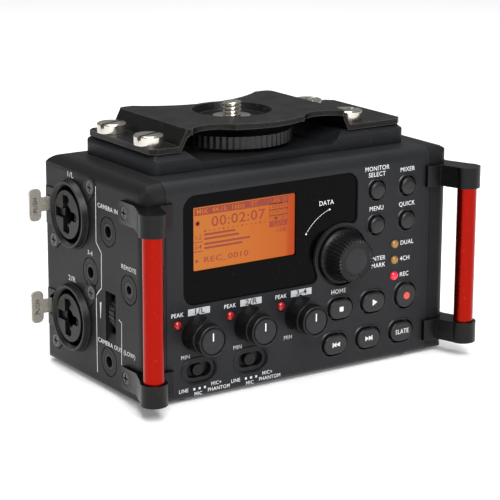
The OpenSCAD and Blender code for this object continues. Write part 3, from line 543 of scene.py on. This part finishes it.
def make_display():
    """Backlit panel with its figures, level bars and side boxes."""
    rim = Vector((DISPLAY_RIM, 0, DISPLAY_RIM))
    lo, hi = low("lcd_module") + rim, high("lcd_module") - rim
    w, h = hi.x - lo.x, hi.z - lo.z
    face_y = lo.y

    def cell(u, v, out):
        """Placing on the picture by shares of its width and height."""
        return on_face("front", (lo.x + u * w, face_y - out, lo.z + v * h))

    panel = bmesh.new()
    pour(panel, rounded_panel(w, h, 1.4), cell(0.5, 0.5, 0.1))
    add_piece("display_backlight", panel, BACKLIGHT, "case", smooth=False)
    dark, light = bmesh.new(), bmesh.new()
    out = FIGURES_OUT
    pour(dark, bar(w * 0.92, h * 0.115, INK), cell(0.475, 0.925, out))
    words(light, "MIX  44.1k  16bit   ST", h * 0.115, cell(0.33, 0.925, out + 2 * INK), 1.0)
    words(light, "AA  |||", h * 0.11, cell(0.85, 0.925, out + 2 * INK), 0.8)
    words(dark, "00:02:07", h * 0.225, cell(0.44, 0.735, out), 1.2)
    for turn in (0, 60, 120):
        pour(dark, bar(h * 0.09, h * 0.03, INK),
             cell(0.045, 0.745, out) @ Matrix.Rotation(math.radians(turn), 4, "Z"))
    for i in range(14):
        pour(dark, bar(w * 0.015, h * (0.012 if i % 4 else 0.03), INK), cell(0.115 + i * 0.045, 0.61, out))
    for v, length in LEVEL_BARS:
        pour(dark, bar(w * length, h * 0.032, INK), cell(0.108 + length / 2, v, out))
    for v, tag in ((0.52, "1-2"), (0.37, "3-4")):
        words(dark, tag, h * 0.11, cell(0.05, v, out), 0.8)
        pour(dark, bar(w * 0.09, h * 0.012, INK), cell(0.05, v - 0.07, out))
    words(dark, "REC_0010", h * 0.125, cell(0.32, 0.15, out), 1.45)
    pour(dark, prism(h * 0.04, INK, 3, -90), cell(0.035, 0.15, out))
    for v, label, solid in SIDE_BOXES:
        if solid:
            pour(dark, bar(w * 0.18, h * 0.085, INK), cell(0.835, v, out))
            words(light, label, h * 0.085, cell(0.835, v, out + 2 * INK), 0.9)
        else:
            words(dark, label, h * 0.085, cell(0.835, v, out), 0.85)
            for side in (-1, 1):
                pour(dark, bar(w * 0.18, h * 0.01, INK), cell(0.835, v + side * 0.045, out))
                pour(dark, bar(w * 0.004, h * 0.09, INK), cell(0.835 + side * 0.09, v, out))
    words(dark, "-12dB", h * 0.1, cell(0.86, 0.44, out), 0.85)
    add_piece("display_figures", dark, LCD_INK, "case", smooth=False)
    add_piece("display_light_figures", light, BACKLIGHT, "case", smooth=False)


def rounded_panel(w, h, corner):
    """Thin plate with rounded corners."""
    part = bar(w, h, 0.1)
    edges = [e for e in part.edges if abs((e.verts[0].co - e.verts[1].co).normalized().z) > 0.9]
    bmesh.ops.bevel(part, geom=edges, offset=corner * 0.5, segments=5, profile=0.5, affect="EDGES",
                    offset_type="OFFSET", material=-1)
    return part


# ---- keys ----

ROUND_KEYS = ("monitor_button", "mixer_button", "menu_button", "quick_button")
OVAL_KEYS = ("stop_button", "play_button", "skip_back_button", "skip_forward_button", "slate_button")
KEY_FLANGE = 0.9
# Steps of (inset, rise) that crown a cap, and that form the well round it
ROUND_CROWN = ((0.15, 0.2), (0.3, 0.22), (0.6, 0.22), (0.8, 0.12))
OVAL_CROWN = ((0.12, 0.2), (0.25, 0.14), (0.5, 0.06), (1.0, -0.1))
WELL_STEPS = ((0.25, 0.22), (0.3, 0.0), (0.2, -0.3), (0.1, -1.2))
WELL_LIP = 0.75


def key_size(node):
    """Width and height of a key's cap, without its flange behind the panel."""
    span = high(node) - low(node)
    return span.x - 2 * KEY_FLANGE, span.z - 2 * KEY_FLANGE


def make_keys():
    """Caps that stand in dark wells with a raised lip, one piece for each key."""
    wells = bmesh.new()
    for node in ROUND_KEYS + OVAL_KEYS + ("record_button",):
        w, h = key_size(node)
        centre = mid(node)
        small = node in ROUND_KEYS
        play = 0.45 if small else 0.5
        cap = bmesh.new()
        crown = ROUND_CROWN if small else OVAL_CROWN
        pour(cap, capsule(w - 2 * play, h - 2 * play, -1.5, crown), front_at(centre.x, centre.z, 0.75))
        piece = add_piece(f"{node}_cap", cap, BUTTON, NODE_BODY[node], sharp=50)
        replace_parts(piece, node)
        pour(wells, capsule(w + 2 * WELL_LIP, h + 2 * WELL_LIP, -1.8, WELL_STEPS),
             front_at(centre.x, centre.z, 0.0))
    add_piece("key_wells", wells, KEY_WELL, "case", sharp=40)


def make_key_marks():
    """Icons and words printed on the caps."""
    def top_of(node, shift=0.0, out=0.0):
        """Placing on the flat top of a cap."""
        centre = mid(node)
        return front_at(centre.x + shift, centre.z, 1.07 + out)

    def print_on(node, part_list, ink):
        """One mark made of several flat shapes."""
        marks = bmesh.new()
        for part, shift in part_list:
            pour(marks, part, top_of(node, shift))
        add_piece(f"{node}_mark", marks, ink, NODE_BODY[node], smooth=False)

    thick = 0.06
    print_on("stop_button", [(prism(1.1, thick, 4, 45), 0)], WHITE_INK)
    print_on("play_button", [(prism(1.3, thick, 3, -90), 0)], WHITE_INK)
    print_on("record_button", [(prism(1.25, thick, 32), 0)], RED_INK)
    for node, side in (("skip_back_button", -1), ("skip_forward_button", 1)):
        arrows = [(prism(0.95, thick, 3, -90 * side), side * x) for x in (-1.15, 0.3)]
        print_on(node, arrows + [(bar(0.4, 1.6, thick), side * 1.15)], WHITE_INK)
    slate = bmesh.new()
    words(slate, "SLATE", 2.3, top_of("slate_button", out=0.03), 0.85)
    add_piece("slate_button_mark", slate, WHITE_INK, NODE_BODY["slate_button"], smooth=False)


# ---- turning controls ----

def ripple(part, count, depth, span):
    """Presses count grooves into the skin of a lathed part between two heights."""
    for vert in part.verts:
        radius = math.hypot(vert.co.x, vert.co.y)
        if span[0] <= vert.co.z <= span[1] and radius > 1:
            wave = 0.5 + 0.5 * math.cos(count * math.atan2(vert.co.y, vert.co.x))
            factor = 1 - depth * wave ** 2 / radius
            vert.co.x *= factor
            vert.co.y *= factor


def make_data_wheel():
    """Tapered wheel with fine grip ribs, a scalloped front rim and a flat face; it stands in a round well."""
    lo, hi = low("data_wheel"), high("data_wheel")
    radius = (hi.x - lo.x) / 2
    tall = FRONT - lo.y
    outline = ((0, -0.9), (radius, -0.9), (radius, 0.3), (radius - 0.15, 0.7), (radius - 0.9, 1.3),
               (radius - 1.35, 2.4), (radius - 1.6, 4.0), (radius - 1.8, 5.8), (radius - 1.95, tall - 0.7),
               (radius - 2.15, tall - 0.25), (radius - 2.6, tall), (radius - 3.1, tall),
               (radius - 3.4, tall - 0.15), (1, tall - 0.25), (0, tall - 0.25))
    ribs = 36
    part = lathe(outline, ribs * 6)
    ripple(part, ribs, 0.16, (1.9, tall - 1.0))
    ripple(part, ribs, 0.5, (tall - 0.9, tall + 0.1))
    whole = bmesh.new()
    pour(whole, part, front_at(DIAL.x, DIAL.z))
    piece = add_piece("data_wheel_grip", whole, KNOB, "data_wheel", sharp=28)
    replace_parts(piece, "data_wheel")
    face = bmesh.new()
    pour(face, lathe(((0, 0), (radius - 3.0, 0), (radius - 3.1, 0.06), (0, 0.06)), 72),
         front_at(DIAL.x, DIAL.z, tall - 0.24))
    add_piece("data_wheel_face", face, KNOB_FACE, "data_wheel")
    ring = bmesh.new()
    pour(ring, lathe(((radius + 0.75, -0.6), (radius + 1.15, -0.6), (radius + 1.15, 0.12),
                      (radius + 0.95, 0.2),
                      (radius + 0.75, 0.1), (radius + 0.75, -0.6)), 96), front_at(DIAL.x, DIAL.z))
    add_piece("data_wheel_ring", ring, SHELL, "case")


def make_trim_knobs():
    """Skirt with a nose at twelve o'clock, a bright-edged barrel, a grooved disc and a pointer line."""
    for i, centre in enumerate(TRIMS, 1):
        node = f"trim_knob_{i}"
        lo, hi = low(node), high(node)
        radius = (hi.x - lo.x) / 2
        tall = FRONT - lo.y
        nose = hi.z - (lo.z + radius)
        step = tall - 3
        outline = ((0, 0.3), (radius, 0.3), (radius, 0.9), (radius, step - 0.5), (radius - 0.1, step - 0.15),
                   (radius - 0.35, step), (radius - 0.35, tall - 0.55), (radius - 0.45, tall - 0.2),
                   (radius - 0.7, tall), (radius - 0.95, tall - 0.05), (radius - 1.05, tall - 0.5),
                   (radius - 1.3, tall - 0.5), (radius - 1.4, tall - 0.1), (radius - 1.7, tall + 0.0),
                   (radius / 3, tall + 0.0), (0, tall + 0.0))
        part = lathe(outline, 120)
        slope = (nose - radius * 0.78) / 3.2
        for vert in part.verts:
            reach = math.hypot(vert.co.x, vert.co.y)
            if 0.8 < vert.co.z < step + 0.01 and reach > radius - 0.2 and vert.co.y > 0:
                side = abs(vert.co.x) / reach
                wedge = nose / (vert.co.y / reach + slope * side)
                if wedge > reach and side < 0.6:
                    vert.co.x *= wedge / reach
                    vert.co.y *= wedge / reach
        whole = bmesh.new()
        pour(whole, part, front_at(centre.x, lo.z + radius))
        piece = add_piece(f"{node}_body", whole, KNOB, node, sharp=30)
        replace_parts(piece, node)
        disc = bmesh.new()
        pour(disc, lathe(((0, 0), (radius - 1.65, 0), (radius - 1.75, 0.05), (0, 0.05)), 48),
             front_at(centre.x, lo.z + radius, tall - 0.02))
        add_piece(f"{node}_disc", disc, KNOB_FACE, node)
        line = bmesh.new()
        pour(line, bar(0.45, 2.6, 0.06), front_at(centre.x, lo.z + radius + 1.35, tall))
        add_piece(f"{node}_pointer", line, WHITE_INK, node, smooth=False)


def make_lamps():
    """Domed lenses, each in a thin dark collar."""
    collars = bmesh.new()
    spots = []
    lo, hi = low("mode_leds"), high("mode_leds")
    lens_r = (hi.x - lo.x) / 2
    for z in (hi.z - lens_r, lo.z + lens_r):
        spots.append(("mode_leds", "led_amber", LED_AMBER, (lo.x + lens_r, z)))
    rec = mid("record_led")
    spots.append(("record_led", "led_red", LED_RED, (rec.x, rec.z)))
    peak_lo, peak_hi = low("peak_leds"), high("peak_leds")
    for i in range(3):
        x = peak_lo.x + lens_r + i * (peak_hi.x - peak_lo.x - 2 * lens_r) / 2
        spots.append(("peak_leds", "led_red", LED_PEAK, (x, peak_lo.z + lens_r)))
    lenses = {}
    for node, slot, finish, (x, z) in spots:
        bm = lenses.setdefault(node, (bmesh.new(), slot, finish))[0]
        r = lens_r - 0.05
        arc = [math.radians(15 * k) for k in range(1, 6)]
        dome = [(0, -1), (r, -1), (r, 0.1)] + [(r * math.cos(a), 0.1 + 0.7 * r * math.sin(a)) for a in arc]
        pour(bm, lathe(dome + [(0, 0.1 + 0.7 * r)], 32), front_at(x, z))
        pour(collars, lathe(((r + 0.02, -0.4), (r + 0.4, -0.4), (r + 0.4, 0.06), (r + 0.25, 0.1),
                             (r + 0.02, 0.02), (r + 0.02, -0.4)), 40), front_at(x, z))
    for node, (bm, slot, finish) in lenses.items():
        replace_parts(add_piece(f"{node}_lenses", bm, finish, "case", sharp=60), node)
    add_piece("lamp_collars", collars, KEY_WELL, "case")


def loop_rim(w, h, profile):
    """Closed moulding that follows a round-ended slot; profile holds (outwards, height) points."""
    part = lathe([(h / 2 + outwards, height) for outwards, height in profile + profile[:1]], 48)
    for vert in part.verts:
        if abs(vert.co.x) > 1e-3:
            vert.co.x += math.copysign((w - h) / 2, vert.co.x)
    return part


SWITCH_LIP = ((0, -0.4), (0, 0.12), (0.2, 0.32), (0.45, 0.32), (0.7, 0.08), (0.7, -0.4))


def make_switch_frames():
    """Raised lips round the two slide switches."""
    lips = bmesh.new()
    for i in (1, 2):
        centre = mid(f"input_switch_{i}")
        pour(lips, loop_rim(12.6, 8.2, SWITCH_LIP),
             front_at(centre.x, centre.z))
    add_piece("switch_lips", lips, SHELL, "case", sharp=40)


# ---- camera screw ----

def make_camera_screw():
    """Quarter-inch thread with rounded crests, twenty turns to the inch."""
    lo, hi = low("camera_stud"), high("camera_stud")
    centre = mid("camera_stud")
    crest = (hi.x - lo.x) / 2
    pitch = 1.27
    top, foot = hi.z, high("stud_washer").z + 0.05
    rings = 56
    outline = [(0, foot)] + [(crest, foot + (top - foot - 0.05) * k / rings) for k in range(rings + 1)] + \
        [(crest - 0.7, top), (0, top)]
    part = lathe(outline, 48)
    for vert in part.verts:
        reach = math.hypot(vert.co.x, vert.co.y)
        if reach > crest - 0.1:
            turn = math.atan2(vert.co.y, vert.co.x) / math.tau
            wave = 0.5 - 0.5 * math.cos(math.tau * ((vert.co.z - foot) / pitch - turn))
            fade = min(1, (top - vert.co.z) / 0.4 + 0.35)
            factor = 1 - (0.62 * (1 - wave ** 0.7) * fade + 0.25 * (1 - fade)) / crest
            vert.co.x *= factor
            vert.co.y *= factor
    whole = bmesh.new()
    pour(whole, part, Matrix.Translation((centre.x, centre.y, 0)))
    add_piece("camera_stud_thread", whole, NICKEL, "camera_screw", sharp=60)
    neck = bmesh.new()
    pour(neck, lathe(((0, lo.z), (2.55, lo.z), (2.55, foot + 0.1), (0, foot + 0.1)), 40),
         Matrix.Translation((centre.x, centre.y, 0)))
    piece = add_piece("camera_stud_neck", neck, NICKEL, "camera_screw")
    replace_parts(piece, "camera_stud")


# ---- printing ----

def make_front_print():
    """Words, boxes and the turning arrow printed on the front panel; each MIN gets the grey ink as painted
    shade.
    """
    white, grey, dark = bmesh.new(), bmesh.new(), bmesh.new()
    size = 2.15

    def above(node, text, rise, shift=0.0):
        """Word over a key."""
        centre = mid(node)
        words(white, text, size, front_at(centre.x + shift, centre.z + rise))

    above("monitor_button", "MONITOR\nSELECT", 6.3)
    for node, text in (("mixer_button", "MIXER"), ("menu_button", "MENU"), ("quick_button", "QUICK")):
        above(node, text, 5.6)
    above("stop_button", "HOME", 5.9, -0.6)
    amber_lo, amber_hi, rec = low("mode_leds"), high("mode_leds"), mid("record_led")
    for text, z in (("DUAL", amber_hi.z - 1.5), ("4CH", amber_lo.z + 1.5), ("REC", rec.z)):
        words(white, text, size, front_at(rec.x + 2.4, z), align="LEFT")
    words(white, "ENTER", size, front_at(DIAL.x + 14.6, DIAL.z - 3.0))
    words(white, "MARK", size, front_at(DIAL.x + 14.9, DIAL.z - 5.4))
    names = ("1/L", "2/R", "3-4")
    box_rise = 7.25
    for centre, text in zip(TRIMS, names):
        z = low("trim_knob_1").z + 5.5
        pour(grey, bar(8.2, 2.2, INK), front_at(centre.x + 1.05, z + box_rise))
        words(dark, text, 2.5, front_at(centre.x + 1.05, z + box_rise, 3 * INK), 1.25)
        words(white, "PEAK", 1.95, front_at(centre.x - 7.0, z + 7.0))
        # MIN takes the grey ink rather than the white of PEAK: the grey is painted shade.
        words(grey, "MIN", 1.9, front_at(centre.x - 4.1, z - 7.2))
    for i in (1, 2):
        centre = mid(f"input_switch_{i}")
        row = centre.z - 5.9
        words(white, "LINE", 1.75, front_at(centre.x - 6.1, row))
        words(white, "MIC+", 1.75, front_at(centre.x + 6.2, row + 0.6))
        words(white, "MIC", 1.75, front_at(centre.x - 0.6, row - 1.7))
        words(white, "PHANTOM", 1.75, front_at(centre.x + 7.2, row - 1.2))
        for k in range(3):
            pour(white, bar(0.75, 0.75, INK), front_at(centre.x - 2.1 + 2.0 * k, row))
    words(white, "DATA", 2.2, front_at(DIAL.x - 6.3, DIAL.z + 18.6, -0.67))
    arc_r, first, last = 17.0, 108, 146
    points = [(DIAL.x + arc_r * math.cos(math.radians(a)), DIAL.z + arc_r * math.sin(math.radians(a)))
              for a in range(first, last + 1, 3)]
    ink_line(white, points, 0.18, lambda x, z, out, turn: front_at(x, z, -0.67, turn))
    for angle, turn in ((first - 1, -90), (last + 1, 90)):
        x = DIAL.x + arc_r * math.cos(math.radians(angle))
        z = DIAL.z + arc_r * math.sin(math.radians(angle))
        pour(white, prism(0.5, INK, 3, 0), front_at(x, z, -0.67, angle + turn))
    add_piece("front_white_print", white, WHITE_INK, "case", smooth=False)
    # The grey print holds the label boxes and, as painted shade, the MIN words.
    add_piece("front_grey_print_and_painted_shade", grey, GREY_INK_AND_PAINTED_SHADE, "case", smooth=False)
    add_piece("front_dark_print", dark, DARK_INK, "case", smooth=False)


# Places are (y, z) on the sides
DIVIDING_LINE = ((-2.1, 65.8), (-1.9, 47.7), (-5.2, 44.8), (-5, 33.2), (-1.5, 30), (-1.5, 4.2))
OUTPUT_LINE = ((-15.9, 25.3), (-17.5, 24.7), (-17.2, 10.8))
LEFT_WORDS = ((-9.6, 60.2, "CAMERA IN"), (2.2, 43.2, "3-4"), (-22.3, 43.4, "REMOTE"),
              (-14.0, 15.4, "CAMERA OUT (LOW)"))
RIGHT_WORDS = ((-19, 56.5, "PHONES"), (-19, 26.6, "LINE OUT"), (-12.2, 35, "LEVEL"),
               (-2, 60.6, "HOLD   POWER"))


def make_left_print():
    """Words, lines and the level wedge printed on the left side."""
    white = bmesh.new()
    lo = low("level_wheel")
    hi = high("level_wheel")
    level_y, level_z = (lo.y + hi.y) / 2, (lo.z + hi.z) / 2
    for centre, text in zip(JACKS, ("1/L", "2/R")):
        words(white, text, 2.5, left_at(centre.y, centre.z + 12.8), 1.3)
    for y, z, text in LEFT_WORDS:
        words(white, text, 2.1, left_at(y, z), 1.1)
    ink_line(white, DIVIDING_LINE, 0.3, left_at)
    ink_line(white, OUTPUT_LINE, 0.25, left_at)
    pour(white, wedge(0.9, 5.4), left_at(level_y + 6.3, level_z))
    add_piece("left_print", white, WHITE_INK, "case", smooth=False)


def wedge(width, tall):
    """Thin triangle, broad at the top."""
    part = bar(width, tall, INK)
    for vert in part.verts:
        if vert.co.y < 0:
            vert.co.x = math.copysign(0.12, vert.co.x) - width / 4
    return part


def make_right_and_door_print():
    """Words printed on the right side and on the battery door."""
    white = bmesh.new()
    for y, z, text in RIGHT_WORDS:
        words(white, text, 2.1, right_at(y, z), 0.82)
    words(white, "CARD", 2.4, right_at(16, 61.2), 0.85)
    add_piece("right_print", white, WHITE_INK, "case", smooth=False)
    door = bmesh.new()
    words(door, "OPEN", 2.4, back_at(-1, high("battery_door").z - 14.5), 0.9)
    pour(door, prism(1.0, INK, 3, -90), back_at(-7.5, high("battery_door").z - 14.5))
    add_piece("battery_door_print", door, GREY_INK_AND_PAINTED_SHADE, "battery_door", smooth=False)


def make_tab_words():
    """Raised letters that run up the thumb plate of each release tab."""
    for i in (1, 2):
        lo, hi = low(f"latch_tab_{i}"), high(f"latch_tab_{i}")
        letters = bmesh.new()
        words(letters, "PUSH", 2.3, on_face("front", (lo.x + 2.3, lo.y, (lo.z + hi.z) / 2), 90), 0.9)
        add_piece(f"latch_tab_{i}_letters", letters, SCREW_STEEL, f"latch_tab_{i}", smooth=False)


CHANNEL_DEPTH = 1.2


def cut_contact_channels():
    """Cuts shallow channels into the socket inserts, from each plug opening to its contact holes."""
    cutter = bmesh.new()
    face_x = low("jack_inserts").x
    for centre in JACKS:
        for turn in (0, 90):
            pour(cutter, bar(12.4, 3.0, CHANNEL_DEPTH + 1),
                 on_face("left", (face_x + CHANNEL_DEPTH, centre.y, centre.z), turn))
    bmesh.ops.scale(cutter, vec=(MM, MM, MM), verts=cutter.verts)
    mesh = bpy.data.meshes.new("channel_cutter")
    cutter.to_mesh(mesh)
    cutter.free()
    tool = bpy.data.objects.new("channel_cutter", mesh)
    bpy.context.scene.collection.objects.link(tool)
    insert = bpy.data.objects["jack_inserts_skin"]
    cut = insert.modifiers.new("channels", "BOOLEAN")
    cut.operation, cut.solver, cut.object, cut.use_self = "DIFFERENCE", "EXACT", tool, True
    insert.modifiers.move(len(insert.modifiers) - 1, 0)
    bpy.context.view_layer.update()
    insert.modifiers["even_normals"].show_viewport = False
    bpy.context.view_layer.update()
    shaped = bpy.data.meshes.new_from_object(insert.evaluated_get(bpy.context.evaluated_depsgraph_get()))
    insert.modifiers["even_normals"].show_viewport = True
    insert.modifiers.remove(cut)
    insert.data = shaped
    bpy.data.objects.remove(tool)


cut_contact_channels()
make_display()
make_keys()
make_key_marks()
make_data_wheel()
make_trim_knobs()
make_lamps()
make_switch_frames()
make_camera_screw()
make_front_print()
make_left_print()
make_right_and_door_print()
make_tab_words()


# ---- camera, floor and light ----

# Where the camera stands: turned from the front, raised, and rolled, in degrees
AZIMUTH, ELEVATION, ROLL = (math.radians(a) for a in (-33.769, 14.436, 0.189))
TARGET = Vector((0.96, 2.68, 39.19)) * MM
DISTANCE = 678.7 * MM


def add_camera():
    """Long lens that looks down on the front left corner."""
    ca, sa, ce, se = math.cos(AZIMUTH), math.sin(AZIMUTH), math.cos(ELEVATION), math.sin(ELEVATION)
    back = Vector((sa * ce, -ca * ce, se))
    right = Vector((ca, sa, 0))
    up = back.cross(right)
    cr, sr = math.cos(ROLL), math.sin(ROLL)
    axes = Matrix((right * cr + up * sr, up * cr - right * sr, back)).transposed()
    lens = bpy.data.cameras.new("portrait_lens")
    lens.lens = 144.42
    lens.sensor_width = 36
    lens.shift_x = 0.0062
    lens.shift_y = -0.022
    lens.clip_end = 50
    camera = bpy.data.objects.new("camera", lens)
    camera.matrix_world = Matrix.Translation(TARGET + back * DISTANCE) @ axes.to_4x4()
    bpy.context.scene.collection.objects.link(camera)
    bpy.context.scene.camera = camera


def add_light(name, place, aim, size, power):
    """Soft rectangular panel light aimed at a point."""
    data = bpy.data.lights.new(name, "AREA")
    data.shape = "RECTANGLE"
    data.size, data.size_y = size
    data.energy = power
    light = bpy.data.objects.new(name, data)
    light.location = place
    light.rotation_euler = (Vector(aim) - Vector(place)).to_track_quat("-Z", "Y").to_euler()
    bpy.context.scene.collection.objects.link(light)


def add_studio():
    """Pale floor, white room and three soft panels."""
    bm = bmesh.new()
    bmesh.ops.create_grid(bm, x_segments=2, y_segments=2, size=4.0)
    bmesh.ops.translate(bm, verts=bm.verts, vec=(0, 0, cad_box[0][2] - 0.0001))
    mesh = bpy.data.meshes.new("studio_floor")
    bm.to_mesh(mesh)
    bm.free()
    floor = bpy.data.objects.new("studio_floor", mesh)
    bpy.context.scene.collection.objects.link(floor)
    paper = finish_of("studio_paper", "#f4f4f4", 0.9, drift=0.01, dust=0.0, specular=0.1)
    paper.node_tree.nodes["Principled BSDF"].inputs["Emission Color"].default_value = (1, 1, 1, 1)
    paper.node_tree.nodes["Principled BSDF"].inputs["Emission Strength"].default_value = 0.14
    mesh.materials.append(paper)
    world = bpy.data.worlds.new("studio_room")
    world.use_nodes = True
    tree = world.node_tree
    room, seen = tree.nodes["Background"], tree.nodes.new("ShaderNodeBackground")
    room.inputs["Color"].default_value = seen.inputs["Color"].default_value = (1, 1, 1, 1)
    room.inputs["Strength"].default_value = 0.26
    seen.inputs["Strength"].default_value = 1.0
    mix = tree.nodes.new("ShaderNodeMixShader")
    tree.links.new(tree.nodes.new("ShaderNodeLightPath").outputs["Is Camera Ray"], mix.inputs[0])
    tree.links.new(room.outputs[0], mix.inputs[1])
    tree.links.new(seen.outputs[0], mix.inputs[2])
    tree.links.new(mix.outputs[0], tree.nodes["World Output"].inputs["Surface"])
    bpy.context.scene.world = world
    aim = (0, 0, 0.04)
    add_light("key_panel", (-0.35, -0.95, 1.0), aim, (0.8, 0.8), 24)
    add_light("top_panel", (0.1, 0.2, 1.4), aim, (0.9, 0.9), 14)
    add_light("left_panel", (-1.2, 0.1, 0.7), aim, (0.4, 0.9), 0.6)
    bpy.context.scene.view_settings.view_transform = "Standard"


add_camera()
add_studio()
